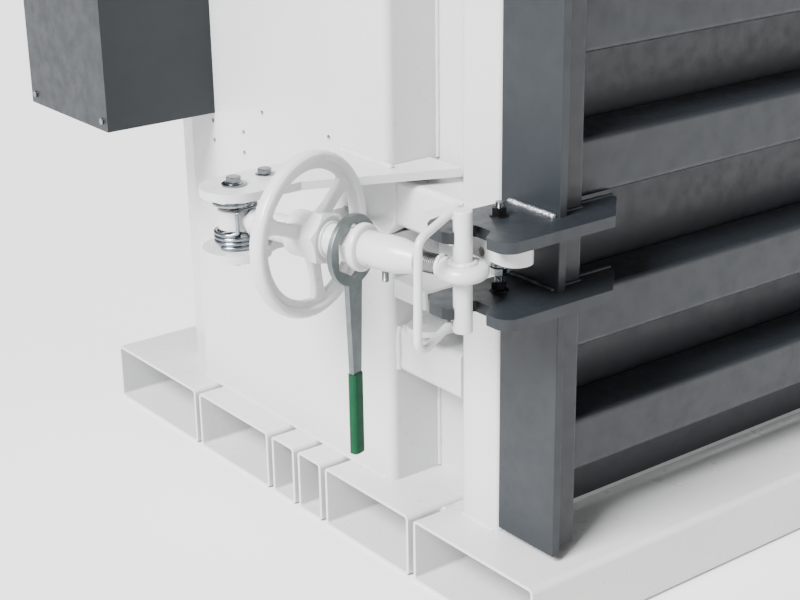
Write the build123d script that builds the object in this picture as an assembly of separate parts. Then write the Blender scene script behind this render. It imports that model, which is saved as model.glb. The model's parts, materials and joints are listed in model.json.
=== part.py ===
from build123d import *

import math
import os

# Lower unit of a vertical baling press with its screw-clamped front door.
# Millimetres. Origin: centre of the base underside. +Z up, -Y is the front (door) side,
# -X is the side that carries the lock.

# ---- machine body ----
WIDTH = 1350.0            # over the two front corner posts
LUG_TOP = 598.0           # height of the upper lug plate's top face
BASE_H = 100.0
BASE_LENGTH = WIDTH + 132.0
BASE_FRONT = -558.0
TUBE_WIDTHS = (208.0, 260.0)      # fork pockets, from the centre outwards
NARROW_TUBE = 62.0
TUBE_WALL = 5.0
TOP = 1096.0
POST = 80.0
PANEL_T = 4.0
DOOR_FRONT = -525.0       # front edges of the door's side plates
LEFT = -WIDTH / 2         # outer face of the left post
POST_Y = DOOR_FRONT + 117.0
PANEL_FRONT_Y = DOOR_FRONT + 339.0
PANEL_REAR_Y = DOOR_FRONT + 905.0
PANEL_OUT = 17.0          # side panels stand this far outside the posts
WALL_IN = 75.0            # chamber wall, inwards from the post's outer face
REAR_Y = DOOR_FRONT + 975.0
BEAM_H = 70.0
POCKET_D = 64.0           # pocket in the panel's front edge, behind the lock
POCKET_LOW = LUG_TOP - 108.0      # its sloping floor at the front
POCKET_FLOOR_REAR = LUG_TOP - 88.0
POCKET_TOP = LUG_TOP - 18.0
PANEL_HOLES = ((797.8, -33.5), (653.2, 7.0), (796.7, -66.1), (708.7, -35.2), (708.8, -68.2), (478.5, 5.7))
RIM_T = 12.0

# ---- door ----
DOOR_BOTTOM = BASE_H + 12.0
DOOR_TOP = TOP - 44.0
DOOR_DEPTH = 114.0
SIDE_T = 12.5
STILE_W = 42.0
STILE_SET = 16.0          # stile face, back from the side plate's front edge
RIB = 80.0
RIB_SET = 28.0
RIB_BOTTOMS = (211.0, 395.0, 604.0, 792.0, 972.0)
SHEET_T = 5.0

# ---- lug plates ----
LUG_T = 15.0
LUG_PITCH = 100.0
BOLT_XY = (LEFT - 52.5, DOOR_FRONT + 56.0)

# ---- lock ----
PIN_XY = (LEFT - 126.4, DOOR_FRONT + 38.9)
PIN_R = 12.5
LOCK_Z = LUG_TOP - 52.0
AXIS_DEG = 15.9           # spindle's lean, from +Y towards -X
ARM_LENGTH = 375.0        # pivot to cross pin
WHEEL_AT = 245.0          # wheel plane, from the cross pin
WHEEL_R = 113.0
RIM_W = 22.0
HEX_AF = 65.0
THREAD_R = 13.5
TRAVEL = 12.0             # how far the hook rod screws out
PIVOT_R = 8.0
CLEAR = 0.05

LEAN = math.radians(AXIS_DEG)
AXIS = (-math.sin(LEAN), math.cos(LEAN))      # from the cross pin towards the pivot
PIVOT_XY = (PIN_XY[0] + ARM_LENGTH * AXIS[0], PIN_XY[1] + ARM_LENGTH * AXIS[1])

# A frame along the spindle: local X is level and points away from the machine, local Y is up,
# local Z points from the cross pin towards the pivot.
SPINDLE = Plane(
    origin=(PIN_XY[0], PIN_XY[1], LOCK_Z),
    x_dir=(-math.cos(LEAN), -math.sin(LEAN), 0),
    z_dir=(AXIS[0], AXIS[1], 0),
)

parts = {}


def block(x0, x1, y0, y1, z0, z1):
    """A box from its low and high corners."""
    size = Box(x1 - x0, y1 - y0, z1 - z0)
    return Pos((x0 + x1) / 2, (y0 + y1) / 2, (z0 + z1) / 2) * size


def rounded_block(x0, x1, y0, y1, z0, z1, radius, axis=Axis.Z):
    """A box whose edges along one axis are rounded."""
    solid = block(x0, x1, y0, y1, z0, z1)
    return fillet(solid.edges().filter_by(axis), radius)


def tube(x0, x1, y0, y1, z0, z1, wall, radius, axis=Axis.Z):
    """A rectangular hollow section running along one axis, open at both ends."""
    outer = rounded_block(x0, x1, y0, y1, z0, z1, radius, axis)
    dx, dy, dz = [0.0 if direction == axis else wall for direction in (Axis.X, Axis.Y, Axis.Z)]
    ex, ey, ez = [1.0 if direction == axis else 0.0 for direction in (Axis.X, Axis.Y, Axis.Z)]
    inner = rounded_block(
        x0 + dx - ex, x1 - dx + ex, y0 + dy - ey, y1 - dy + ey, z0 + dz - ez, z1 - dz + ez,
        max(radius - wall, 0.8), axis,
    )
    return outer - inner


def upright(x, y, z0, z1, radius):
    """A vertical cylinder."""
    return Pos(x, y, (z0 + z1) / 2) * Cylinder(radius, z1 - z0)


def hex_upright(x, y, z0, z1, across_flats):
    """A vertical hexagonal prism."""
    outline = RegularPolygon(across_flats / math.sqrt(3), 6)
    return Pos(x, y, z0) * extrude(outline, z1 - z0)


def along_spindle(start, end, radius):
    """A cylinder on the spindle; stations run from the cross pin towards the pivot."""
    return SPINDLE * Pos(0, 0, (start + end) / 2) * Cylinder(radius, end - start)


def hex_on_spindle(start, end, across_flats, turn=0.0):
    """A hexagonal collar on the spindle."""
    outline = Rot(0, 0, turn) * RegularPolygon(across_flats / math.sqrt(3), 6)
    return SPINDLE * Pos(0, 0, start) * extrude(outline, end - start)


def mirrored(solid):
    """The same piece on the other side of the machine."""
    return mirror(solid, Plane.YZ)


def plate(points, z0, z1):
    """A flat plate cut to a closed outline of lines."""
    return Pos(0, 0, z0) * extrude(make_face(Polyline(*points, close=True)), z1 - z0)


# ================= base =================

def base_tubes():
    """Fork-pocket tubes side by side, from the middle of the machine to front and rear."""
    half = BASE_LENGTH / 2
    rows = []
    y = 5.5
    for width in (NARROW_TUBE,) + TUBE_WIDTHS:
        rows.append((y, y + width))
        y += width + 12.0
    rows = [(-b, -a) for a, b in reversed(rows)] + rows
    for number, (y0, y1) in enumerate(rows, 1):
        section = tube(-half, half, y0, y1, 0, BASE_H, TUBE_WALL, 9.0, Axis.X)
        parts[f"base_tube_{number}"] = section
    return rows


BASE_ROWS = base_tubes()
BASE_REAR = BASE_ROWS[-1][1]
strips = []
for a, b in zip(BASE_ROWS, BASE_ROWS[1:]):
    bottom = 0 if a[1] < 0 < b[0] else 8      # the middle strip stands on the floor too
    strips.append(
        block(-BASE_LENGTH / 2 + 60, BASE_LENGTH / 2 - 60, a[1] + 0.2, b[0] - 0.2, bottom, BASE_H - 8)
    )
parts["base_tie_strips"] = Compound(strips)

# ================= body =================

BODY_X = -LEFT
CHAMBER_X = BODY_X - WALL_IN


def folded_sheet(points, thickness, radius, z0, z1):
    """Upright sheet that follows a plan line, with round bends, thickened to one side."""
    centre = FilletPolyline(*points, radius=radius)
    outline = offset(centre, thickness, side=Side.RIGHT, closed=True)
    return Pos(0, 0, z0) * extrude(make_face(outline), z1 - z0)


def side_panel():
    """Folded outer panel of the left side: front return, long flat and angled rear fold."""
    x_out = LEFT - PANEL_OUT
    points = [
        (LEFT + WALL_IN - 0.2, PANEL_FRONT_Y),
        (x_out, PANEL_FRONT_Y),
        (x_out, PANEL_REAR_Y - 40),
        (x_out + 42, PANEL_REAR_Y + 62),
        (LEFT + WALL_IN - 0.2, PANEL_REAR_Y + 62),
    ]
    return folded_sheet(points, PANEL_T, 14.0, BASE_H, TOP)


def side_prism(points, x0, x1):
    """A solid from an outline in the machine's side view; points are (y, z)."""
    outline = Plane.YZ * make_face(Polyline(*points, close=True))
    return Pos(x0, 0, 0) * extrude(outline, x1 - x0)


PANEL_OUTER_X = LEFT - PANEL_OUT
panel = side_panel()
parts["side_panel_right"] = mirrored(panel)
panel = panel - side_prism(
    [
        (PANEL_FRONT_Y - 5, POCKET_LOW),
        (PANEL_FRONT_Y, POCKET_LOW),
        (PANEL_FRONT_Y + 56, POCKET_FLOOR_REAR),
        (PANEL_FRONT_Y + POCKET_D, POCKET_FLOOR_REAR + 41),
        (PANEL_FRONT_Y + POCKET_D, POCKET_TOP),
        (PANEL_FRONT_Y - 5, POCKET_TOP),
    ],
    PANEL_OUTER_X - 5, LEFT + POST,
)
for y, z in PANEL_HOLES:
    drill = Rot(0, 90, 0) * Cylinder(4.0, 20)
    panel = panel - Pos(PANEL_OUTER_X, DOOR_FRONT + y, LUG_TOP + z) * drill
parts["side_panel_left"] = panel


def pocket_liner():
    """Slanting sheet and sloping ledge that close the pocket in the panel's front edge."""
    points = [
        (LEFT + WALL_IN - 0.2, PANEL_FRONT_Y + 2),
        (LEFT + 2, PANEL_FRONT_Y + 2),
        (PANEL_OUTER_X, PANEL_FRONT_Y + POCKET_D - 8),
        (PANEL_OUTER_X, PANEL_FRONT_Y + POCKET_D),
    ]
    centre = Polyline(*points)
    outline = offset(centre, PANEL_T, side=Side.RIGHT, closed=True)
    sheet = Pos(0, 0, POCKET_LOW - 4) * extrude(make_face(outline), POCKET_TOP - POCKET_LOW + 4)
    rise = POCKET_FLOOR_REAR - POCKET_LOW
    ledge = side_prism(
        [
            (PANEL_FRONT_Y, POCKET_LOW - 4),
            (PANEL_FRONT_Y + 56, POCKET_LOW - 4 + rise),
            (PANEL_FRONT_Y + 56, POCKET_LOW + rise),
            (PANEL_FRONT_Y, POCKET_LOW),
        ],
        PANEL_OUTER_X + PANEL_T + 0.1, LEFT + WALL_IN - 0.2,
    )
    return sheet + ledge


parts["pocket_liner_left"] = pocket_liner() - panel

wall = block(LEFT + WALL_IN, LEFT + WALL_IN + 5, POST_Y + 60, REAR_Y, BASE_H, TOP)
parts["chamber_wall_left"] = wall
parts["chamber_wall_right"] = mirrored(wall)
parts["rear_wall"] = block(
    LEFT + WALL_IN + 5, -LEFT - WALL_IN - 5, REAR_Y - 8, REAR_Y, BASE_H, TOP
)
parts["chamber_floor"] = block(
    LEFT + WALL_IN + 5, -LEFT - WALL_IN - 5, POST_Y, REAR_Y - 8, BASE_H, BASE_H + 8
)

post = tube(LEFT, LEFT + POST, POST_Y, POST_Y + POST, BASE_H, TOP, 5.0, 9.0)
post = post - block(
    LEFT + WALL_IN - 0.2, LEFT + POST + 1, POST_Y + 59.8, POST_Y + POST + 1, BASE_H - 1, TOP + 1
)
parts["corner_post_left"] = post
parts["corner_post_right"] = mirrored(post)


def ring_beam(z0):
    """Short beam that ties a post to the side panel in front of the panel's return."""
    y0 = POST_Y + POST
    solid = block(LEFT, LEFT + WALL_IN, y0, PANEL_FRONT_Y, z0, z0 + BEAM_H)
    edges = solid.edges().filter_by(Axis.Y).group_by(Axis.X)[0]
    solid = fillet(edges, 8.0)
    return solid


for name, z in (("upper", LUG_TOP - 98.0), ("lower", LUG_TOP - 320.0)):
    beam = ring_beam(z)
    parts[f"ring_beam_{name}_left"] = beam
    parts[f"ring_beam_{name}_right"] = mirrored(beam)


def keeper_bracket():
    """Open box and round-ended tongue that stand out of the recess between the two beams."""
    y0 = DOOR_FRONT + 215.0
    x_in = LEFT + WALL_IN - 0.1
    box = tube(
        LEFT - 48, x_in, y0, y0 + 70, LUG_TOP - 178, LUG_TOP - 150, 4.0, 2.0, Axis.Y
    )
    tongue_z = LUG_TOP - 223.0
    middle_y = y0 + 32
    tongue = block(LEFT - 18, x_in, middle_y - 30, middle_y + 30, tongue_z, tongue_z + 8)
    tongue = tongue + upright(LEFT - 18, middle_y, tongue_z, tongue_z + 8, 30.0)
    return Compound([box, tongue])


parts["keeper_bracket"] = keeper_bracket()

rail = tube(
    LEFT + POST, -LEFT - POST, POST_Y, POST_Y + POST, TOP - 60, TOP, 5.0, 9.0, Axis.X
)
parts["front_header"] = rail


def top_flange():
    """Flat frame on top of the walls, with a hole near each corner for the upper unit."""
    x0 = LEFT - PANEL_OUT
    rim = block(x0, -x0, POST_Y, REAR_Y, TOP, TOP + RIM_T)
    rim = rim - block(
        LEFT + POST + 5, -LEFT - POST - 5, POST_Y + POST + 5, REAR_Y - 60, TOP - 1, TOP + RIM_T + 1
    )
    for x in (x0 + 44, -x0 - 44):
        for y in (POST_Y + 40, REAR_Y - 32):
            rim = rim - upright(x, y, TOP - 1, TOP + RIM_T + 1, 9.0)
    return rim


parts["top_flange"] = top_flange()

# ================= side cabinet =================

CAB_Y0 = DOOR_FRONT + 790.0
CAB_Z0 = LUG_TOP - 20.0
CAB_X1 = LEFT - PANEL_OUT
CAB_X0 = CAB_X1 - 190.0
CAB_Y1 = CAB_Y0 + 250.0
cabinet = block(CAB_X0 + 2, CAB_X1, CAB_Y0, CAB_Y1, CAB_Z0, TOP)
cabinet = cabinet - block(CAB_X0 - 1, CAB_X1 - 2, CAB_Y0 + 2, CAB_Y1 - 2, CAB_Z0 + 2, TOP - 2)
parts["side_cabinet"] = cabinet
parts["side_cabinet_cover"] = block(CAB_X0, CAB_X0 + 2, CAB_Y0, CAB_Y1, CAB_Z0, TOP)
screws = []
for y in (CAB_Y0 + 15, CAB_Y1 - 15):
    for z in (CAB_Z0 + 15, TOP - 15):
        screws.append(Pos(CAB_X0 - 1.5, y, z) * (Rot(0, 90, 0) * Cylinder(5.0, 3.0)))
parts["cabinet_screws"] = Compound(screws)

# ================= door =================

side = rounded_block(
    LEFT, LEFT + SIDE_T, DOOR_FRONT, DOOR_FRONT + DOOR_DEPTH, DOOR_BOTTOM, DOOR_TOP, 1.5
)
parts["door_side_left"] = side
parts["door_side_right"] = mirrored(side)

stile = tube(
    LEFT + SIDE_T, LEFT + SIDE_T + STILE_W, DOOR_FRONT + STILE_SET,
    DOOR_FRONT + DOOR_DEPTH - SHEET_T, DOOR_BOTTOM, DOOR_TOP, 4.0, 5.0,
)
parts["door_stile_left"] = stile
parts["door_stile_right"] = mirrored(stile)

RIB_X = -LEFT - SIDE_T - STILE_W
for number, z in enumerate(RIB_BOTTOMS, 1):
    parts[f"door_rib_{number}"] = tube(
        -RIB_X, RIB_X, DOOR_FRONT + RIB_SET, DOOR_FRONT + DOOR_DEPTH - SHEET_T,
        z, z + RIB, 4.0, 9.0, Axis.X,
    )
parts["door_sheet"] = block(
    LEFT + SIDE_T, -LEFT - SIDE_T, DOOR_FRONT + DOOR_DEPTH - SHEET_T,
    DOOR_FRONT + DOOR_DEPTH, DOOR_BOTTOM, DOOR_TOP,
)


def lug_plate(z_top):
    """Hook plate with an open throat for the cross pin, welded across the door's edge."""
    ox, oy = LEFT, DOOR_FRONT
    with BuildSketch() as outline:
        with BuildLine():
            Polyline(
                (-121, -38), (60.5, -38), (118, 19.5), (118, 28), (54.5, 28), (54.5, 15.9),
                (12.6, 15.9), (12.6, -0.2), (-0.2, -0.2), (-0.2, 97), (-112, 102.5), (-130, 99),
                (-141, 91), (-149, 78), (-149.5, 52), (-145.5, 43), (-141, 39.5), (-133, 45),
                (-122, 50), (-106, 51), (-100.5, 44), (-100.5, 16), (-119.5, 2), (-121, -1),
                close=True,
            )
        make_face()
        corner = outline.vertices().group_by(Axis.Y)[0].sort_by(Axis.X)[0]
        fillet(corner, 21.0)
    solid = Pos(ox, oy, z_top - LUG_T) * extrude(outline.sketch, LUG_T)
    solid = solid - upright(*PIN_XY, z_top - LUG_T - 1, z_top + 1, PIN_R + 0.3)
    return solid - upright(*BOLT_XY, z_top - LUG_T - 1, z_top + 1, 6.5)


LOWER_LUG_TOP = LUG_TOP - LUG_PITCH
parts["lug_plate_upper"] = lug_plate(LUG_TOP)
parts["lug_plate_lower"] = lug_plate(LOWER_LUG_TOP)

# catch bar held under the upper lug plate by the clamp bolt, reaching back past the post
BAR_X0 = LEFT - 90.0
BAR_X1 = LEFT - 44.0
BAR_TOP = LUG_TOP - LUG_T
BAR_BOTTOM = BAR_TOP - 31.0


def catch_bar():
    """Bar with a round nose, a vertical bolt hole and two cross holes."""
    radius = (BAR_X1 - BAR_X0) / 2
    middle = (BAR_X0 + BAR_X1) / 2
    solid = block(BAR_X0, BAR_X1, DOOR_FRONT + 8, DOOR_FRONT + 168, BAR_BOTTOM, BAR_TOP)
    solid = solid + upright(middle, DOOR_FRONT + 8, BAR_BOTTOM, BAR_TOP, radius)
    solid = solid - upright(*BOLT_XY, BAR_BOTTOM - 1, BAR_TOP + 1, 6.5)
    for y, z in ((46.0, -22.0), (150.0, -15.0)):
        hole = Rot(0, 90, 0) * Cylinder(6.0, 120)
        if y < 100:
            hole = Rot(0, 90, 0) * Cylinder(6.0, 40)
        solid = solid - Pos(BAR_X0, DOOR_FRONT + y, BAR_TOP + z) * hole
    return solid


parts["catch_bar"] = catch_bar()

parts["lug_clamp_bolt"] = upright(
    BOLT_XY[0], BOLT_XY[1], LOWER_LUG_TOP - LUG_T - 14, LUG_TOP + 19, 5.9
)


def flange_nut(z0, up):
    """M12 flange nut; up = 1 has its flange below, -1 above."""
    x, y = BOLT_XY
    flange = upright(x, y, min(z0, z0 + up * 2.5), max(z0, z0 + up * 2.5), 13.0)
    body = hex_upright(x, y, min(z0 + up * 2.5, z0 + up * 12), max(z0 + up * 2.5, z0 + up * 12), 18.0)
    return flange + body - upright(x, y, z0 - 20, z0 + 20, 5.95)


parts["lug_clamp_nuts"] = Compound(
    [
        flange_nut(LUG_TOP, 1),
        flange_nut(BAR_BOTTOM, -1),
        flange_nut(LOWER_LUG_TOP, 1),
        flange_nut(LOWER_LUG_TOP - LUG_T, -1),
    ]
)

# ================= door hinges =================

HINGE_X = -LEFT + 36.0
HINGE_Y = DOOR_FRONT + 62.0
KNUCKLE_R = 24.0
HINGE_PIN_R = 12.5
HINGE_ZS = (LUG_TOP - 330.0, LUG_TOP + 290.0)
KNUCKLE_H = 56.0


def knuckle(z0, z1, x_plate, y0, y1):
    """Hinge barrel with its welded strap, bored for the pin."""
    barrel = upright(HINGE_X, HINGE_Y, z0, z1, KNUCKLE_R)
    strap = block(x_plate, HINGE_X, y0, y1, z0, z1)
    return barrel + strap - upright(HINGE_X, HINGE_Y, z0 - 1, z1 + 1, HINGE_PIN_R + CLEAR)


door_knuckles = []
frame_knuckles = []
pins = []
for z in HINGE_ZS:
    half = KNUCKLE_H / 2
    door_knuckles.append(knuckle(z - half, z + half, -LEFT, HINGE_Y - 24, HINGE_Y + 2))
    for sign in (-1, 1):
        low = z + sign * (KNUCKLE_H + 1) - half
        high = z + sign * (KNUCKLE_H + 1) + half
        barrel = upright(HINGE_X, HINGE_Y, low, high, KNUCKLE_R)
        strap = block(HINGE_X + 12, HINGE_X + 24, HINGE_Y, POST_Y + 40, low, high)
        strap = strap + block(-LEFT, HINGE_X + 24, POST_Y + 28, POST_Y + 40, low, high)
        barrel = barrel + strap
        frame_knuckles.append(
            barrel - upright(HINGE_X, HINGE_Y, low - 1, high + 1, HINGE_PIN_R + CLEAR)
        )
    top = z + KNUCKLE_H * 1.5 + 1
    shaft = upright(HINGE_X, HINGE_Y, top - 3 * KNUCKLE_H - 12, top + 0.2, HINGE_PIN_R)
    pins.append(shaft + upright(HINGE_X, HINGE_Y, top + 0.2, top + 10, 20))
parts["door_hinge_knuckles"] = Compound(door_knuckles)
parts["frame_hinge_knuckles"] = Compound(frame_knuckles)
parts["hinge_pins"] = Compound(pins)

# ================= pivot bracket =================

EYE_H = 26.0
BRACKET_T = 12.0
UPPER_BRACKET_TOP = LUG_TOP - 6.0
LOWER_BRACKET_TOP = LUG_TOP - 92.0
BRACKET_R = 47.0
GUIDE_XY = (PIVOT_XY[0] + 60.0, PIVOT_XY[1] + 16.0)
PANEL_X = LEFT - PANEL_OUT


def bracket(z_top, front_points):
    """Plate with a round end about the pivot, reaching back to the side panel."""
    px, py = PIVOT_XY
    rear = py + BRACKET_R
    outline = plate(
        [(px, rear), (PANEL_X - 0.1, rear)] + front_points + [(px, py - BRACKET_R)],
        z_top - BRACKET_T, z_top,
    )
    solid = outline + upright(px, py, z_top - BRACKET_T, z_top, BRACKET_R)
    solid = solid - upright(px, py, z_top - BRACKET_T - 1, z_top + 1, PIVOT_R)
    return solid - upright(GUIDE_XY[0], GUIDE_XY[1], z_top - BRACKET_T - 1, z_top + 1, 6.0)


upper = bracket(
    UPPER_BRACKET_TOP,
    [
        (PANEL_X - 0.1, PANEL_FRONT_Y - 1),
        (LEFT + 58, PANEL_FRONT_Y - 1),
        (LEFT + 58, PANEL_FRONT_Y - 74),
        (PIVOT_XY[0] + 78, PIVOT_XY[1] - BRACKET_R + 1),
    ],
)
lower = bracket(
    LOWER_BRACKET_TOP,
    [(PANEL_X - 0.1, PIVOT_XY[1] - 18), (PIVOT_XY[0] + 52, PIVOT_XY[1] - 18)],
)
parts["pivot_bracket_upper"] = upper
parts["pivot_bracket_lower"] = lower


def bracket_bolt(xy, radius, head_af, washer_r):
    """Through bolt with a head above the upper plate and a nut below the lower one."""
    x, y = xy
    top = UPPER_BRACKET_TOP + (3.0 if washer_r else 0.0)
    shank = upright(x, y, LOWER_BRACKET_TOP - BRACKET_T - 16, top, radius - 0.05)
    return shank + hex_upright(x, y, top, top + 10, head_af)


def bracket_nut(xy, radius, head_af):
    """Nut under the lower bracket plate."""
    x, y = xy
    top = LOWER_BRACKET_TOP - BRACKET_T
    return hex_upright(x, y, top - 12, top, head_af) - upright(x, y, top - 13, top + 1, radius)


parts["pivot_bolt"] = bracket_bolt(PIVOT_XY, PIVOT_R, 24.0, 17.0)
parts["guide_bolt"] = bracket_bolt(GUIDE_XY, 6.0, 19.0, 0.0)
washer = upright(*PIVOT_XY, UPPER_BRACKET_TOP, UPPER_BRACKET_TOP + 3, 17.0)
parts["pivot_washer"] = washer - upright(
    *PIVOT_XY, UPPER_BRACKET_TOP - 1, UPPER_BRACKET_TOP + 4, PIVOT_R
)
parts["bracket_nuts"] = Compound(
    [bracket_nut(PIVOT_XY, PIVOT_R, 24.0), bracket_nut(GUIDE_XY, 6.0, 19.0)]
)

# ================= lock: swinging arm =================

EYE_R = 24.0
ARM_R = 19.0
eye = upright(*PIVOT_XY, LOCK_Z - EYE_H / 2, LOCK_Z + EYE_H / 2, EYE_R)
arm_rod = along_spindle(WHEEL_AT + 32, ARM_LENGTH - 34, ARM_R)
arm_neck = along_spindle(ARM_LENGTH - 36, ARM_LENGTH - EYE_R + 5, 12.0)
spigot = along_spindle(WHEEL_AT - 60, WHEEL_AT + 33, 12.0)
arm = eye + arm_rod + arm_neck + spigot
arm = arm - upright(*PIVOT_XY, LOCK_Z - 40, LOCK_Z + 40, PIVOT_R + CLEAR)
parts["swing_arm"] = arm


def torsion_spring():
    """Double torsion spring around the pivot bolt, as two closed sleeves of coils."""
    x, y = PIVOT_XY
    outer, inner = 31.0, 26.0
    groups = (
        (LOCK_Z + EYE_H / 2 + 1.5, UPPER_BRACKET_TOP - BRACKET_T - 1.5),
        (LOWER_BRACKET_TOP + 1.0, LOCK_Z - EYE_H / 2 - 1.5),
    )
    rings = []
    for low, high in groups:
        rings.append(upright(x, y, low, high, outer) - upright(x, y, low - 1, high + 1, inner))
    return Compound(rings)


parts["torsion_spring"] = torsion_spring()

# ================= lock: handwheel and sleeve =================

SLEEVE_END = 66.0         # sleeve's tapered mouth, from the cross pin


def handwheel():
    """Three-spoke wheel with a stepped rim, around a bored hub boss."""
    ring = Cylinder(WHEEL_R, RIM_W) - Cylinder(WHEEL_R - 13, RIM_W + 2)
    flange = Cylinder(WHEEL_R - 12, 8) - Cylinder(WHEEL_R - 24, 10)
    boss = Pos(0, 0, 6) * Cylinder(31, 34)
    wheel = ring + flange + boss
    wheel = fillet(wheel.edges().filter_by(GeomType.CIRCLE).group_by(SortBy.RADIUS)[-1], 5.0)
    for angle in (38.0, 158.0, 278.0):
        spoke = Pos(56, 0, 0) * Box(84, 20, 12)
        spoke = fillet(spoke.edges().filter_by(Axis.X), 4.0)
        wheel = wheel + Rot(0, 0, 180 - angle) * spoke
    wheel = wheel - Cylinder(12.0 + CLEAR, 80)
    return SPINDLE * Pos(0, 0, WHEEL_AT) * wheel


parts["handwheel"] = handwheel()


def sleeve():
    """Sleeve that turns with the wheel: hexagons, tube, collar and tapered nose."""
    body = hex_on_spindle(WHEEL_AT - 34, WHEEL_AT - 11, HEX_AF)
    body = body + along_spindle(WHEEL_AT - 60, WHEEL_AT - 34, 22.0)
    body = body + hex_on_spindle(WHEEL_AT - 83, WHEEL_AT - 59, 45.0, 30.0)
    body = body + along_spindle(WHEEL_AT - 94, WHEEL_AT - 82, 32.0)
    body = body + along_spindle(SLEEVE_END + 33, WHEEL_AT - 93, 24.0)
    taper = SPINDLE * Pos(0, 0, SLEEVE_END + 16.5) * Cone(18.0, 24.0, 33)
    body = body + taper
    body = body - along_spindle(WHEEL_AT - 62, WHEEL_AT - 10, 12.0 + CLEAR)
    return body - along_spindle(SLEEVE_END - 1, WHEEL_AT - 62, THREAD_R + 0.1)


parts["lock_sleeve"] = sleeve()
stud = SPINDLE * Pos(0, -31.5, WHEEL_AT - 124) * (Rot(90, 0, 0) * Cylinder(4.5, 17))
parts["sleeve_grub_screw"] = stud - along_spindle(100, 150, 24.0)

# ================= lock: hook rod, cross pin and bar handle =================

RING_R = 23.0
RING_SECTION = 11.0
ring = Torus(RING_R, RING_SECTION)
ring = Pos(PIN_XY[0], PIN_XY[1], LOCK_Z) * ring
rod = along_spindle(RING_R - 2, 170.0, THREAD_R)
hook = ring + rod - upright(*PIN_XY, LOCK_Z - 40, LOCK_Z + 40, PIN_R)
parts["hook_rod"] = hook

PIN_TOP = LUG_TOP + 27.0
PIN_BOTTOM = LUG_TOP - 134.0
cross_pin = upright(*PIN_XY, PIN_BOTTOM, PIN_TOP, PIN_R)
cross_pin = fillet(cross_pin.edges().filter_by(GeomType.CIRCLE), 2.0)
parts["cross_pin"] = cross_pin

HANDLE_R = 5.5
HANDLE_ASIDE = 16.0       # the handle lies this far beside the cross pin's centre line
OUT = (-math.cos(LEAN), -math.sin(LEAN))
HANDLE_POINTS = [
    (
        PIN_XY[0] + OUT[0] * reach + AXIS[0] * HANDLE_ASIDE,
        PIN_XY[1] + OUT[1] * reach + AXIS[1] * HANDLE_ASIDE,
        LUG_TOP + z,
    )
    for reach, z in ((-14.0, 25.0), (72.0, 3.5), (75.0, -148.0), (-6.0, -122.0))
]


def bar_handle():
    """Round bar bent into a handle and welded to the cross pin above and below."""
    path = FilletPolyline(*HANDLE_POINTS, radius=14.0)
    profile = Plane(origin=path @ 0, z_dir=path % 0) * Circle(HANDLE_R)
    return sweep(profile, path=path)


parts["bar_handle"] = bar_handle() - upright(*PIN_XY, PIN_BOTTOM, PIN_TOP, PIN_R)

# ================= ring spanner =================

SPANNER_AT = WHEEL_AT - 70.5
SPANNER_DROP = 7.1        # ring centre hangs below the spindle
SPANNER_T = 8.0
RING_OUT = 48.5
GRIP_TOP = -170.0
GRIP_END = -290.0


def spanner():
    """Flat ring spanner with a hexagonal eye, hanging on the sleeve's tube."""
    head = Cylinder(RING_OUT, SPANNER_T)
    shank = Pos(0, 0, -SPANNER_T / 2) * extrude(
        make_face(
            Polyline((-14, -45), (14, -45), (8.5, -170), (8.5, -272), (-8.5, -272), (-8.5, -170),
                     close=True)
        ),
        SPANNER_T,
    )
    eye_hex = RegularPolygon(HEX_AF / math.sqrt(3), 6, rotation=90)
    opening = Pos(0, 0, -SPANNER_T) * extrude(eye_hex, 2 * SPANNER_T)
    body = fillet((head + shank).edges().filter_by(GeomType.CIRCLE), 1.5) - opening
    return body


def spanner_grip():
    """Dipped sleeve over the lower end of the spanner."""
    solid = Pos(0, (GRIP_TOP + GRIP_END) / 2 - 2, 0) * Box(21, GRIP_TOP - GRIP_END - 4, 14)
    solid = fillet(solid.edges().filter_by(Axis.Y), 5.5)
    core = Pos(0, -200, 0) * Box(17.4, 144.4, SPANNER_T + 0.4)
    return solid - core


SPANNER_PLANE = SPINDLE * Pos(0, -SPANNER_DROP, SPANNER_AT)
parts["ring_spanner"] = SPANNER_PLANE * spanner()
parts["spanner_grip"] = SPANNER_PLANE * spanner_grip()

# ================= write the parts =================

os.makedirs("parts", exist_ok=True)
for name, solid in parts.items():
    export_step(solid, f"parts/{name}.step")
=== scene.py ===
import json
import math
import random

import bmesh
import bpy
from mathutils import Matrix, Vector


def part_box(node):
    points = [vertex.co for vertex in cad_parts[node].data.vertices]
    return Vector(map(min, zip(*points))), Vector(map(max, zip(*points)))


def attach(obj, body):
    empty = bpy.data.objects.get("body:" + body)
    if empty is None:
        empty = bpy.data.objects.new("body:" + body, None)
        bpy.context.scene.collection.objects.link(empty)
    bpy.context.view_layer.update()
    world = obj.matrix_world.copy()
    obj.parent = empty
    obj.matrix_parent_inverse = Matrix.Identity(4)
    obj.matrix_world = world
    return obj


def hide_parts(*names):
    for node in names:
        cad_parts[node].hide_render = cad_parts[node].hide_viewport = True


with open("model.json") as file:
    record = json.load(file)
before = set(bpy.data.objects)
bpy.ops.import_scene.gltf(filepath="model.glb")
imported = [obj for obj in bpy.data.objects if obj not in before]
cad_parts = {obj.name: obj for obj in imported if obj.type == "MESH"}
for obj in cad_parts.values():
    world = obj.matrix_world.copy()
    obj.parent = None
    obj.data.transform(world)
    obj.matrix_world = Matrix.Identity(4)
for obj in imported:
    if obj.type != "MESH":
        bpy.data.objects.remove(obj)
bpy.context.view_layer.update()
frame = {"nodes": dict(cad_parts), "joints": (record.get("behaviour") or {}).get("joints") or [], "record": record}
RECORD = frame["record"]
NODES = frame["nodes"]
JOINTS = {joint["name"]: joint for joint in frame["joints"]}
CAMERA_AZIMUTH = -39.47
CAMERA_ELEVATION = 22.27
CAMERA_FROM_CORNER = Vector((-1.4029, -1.5124, 0.6710))     # from the door's front upper lug corner
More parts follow.
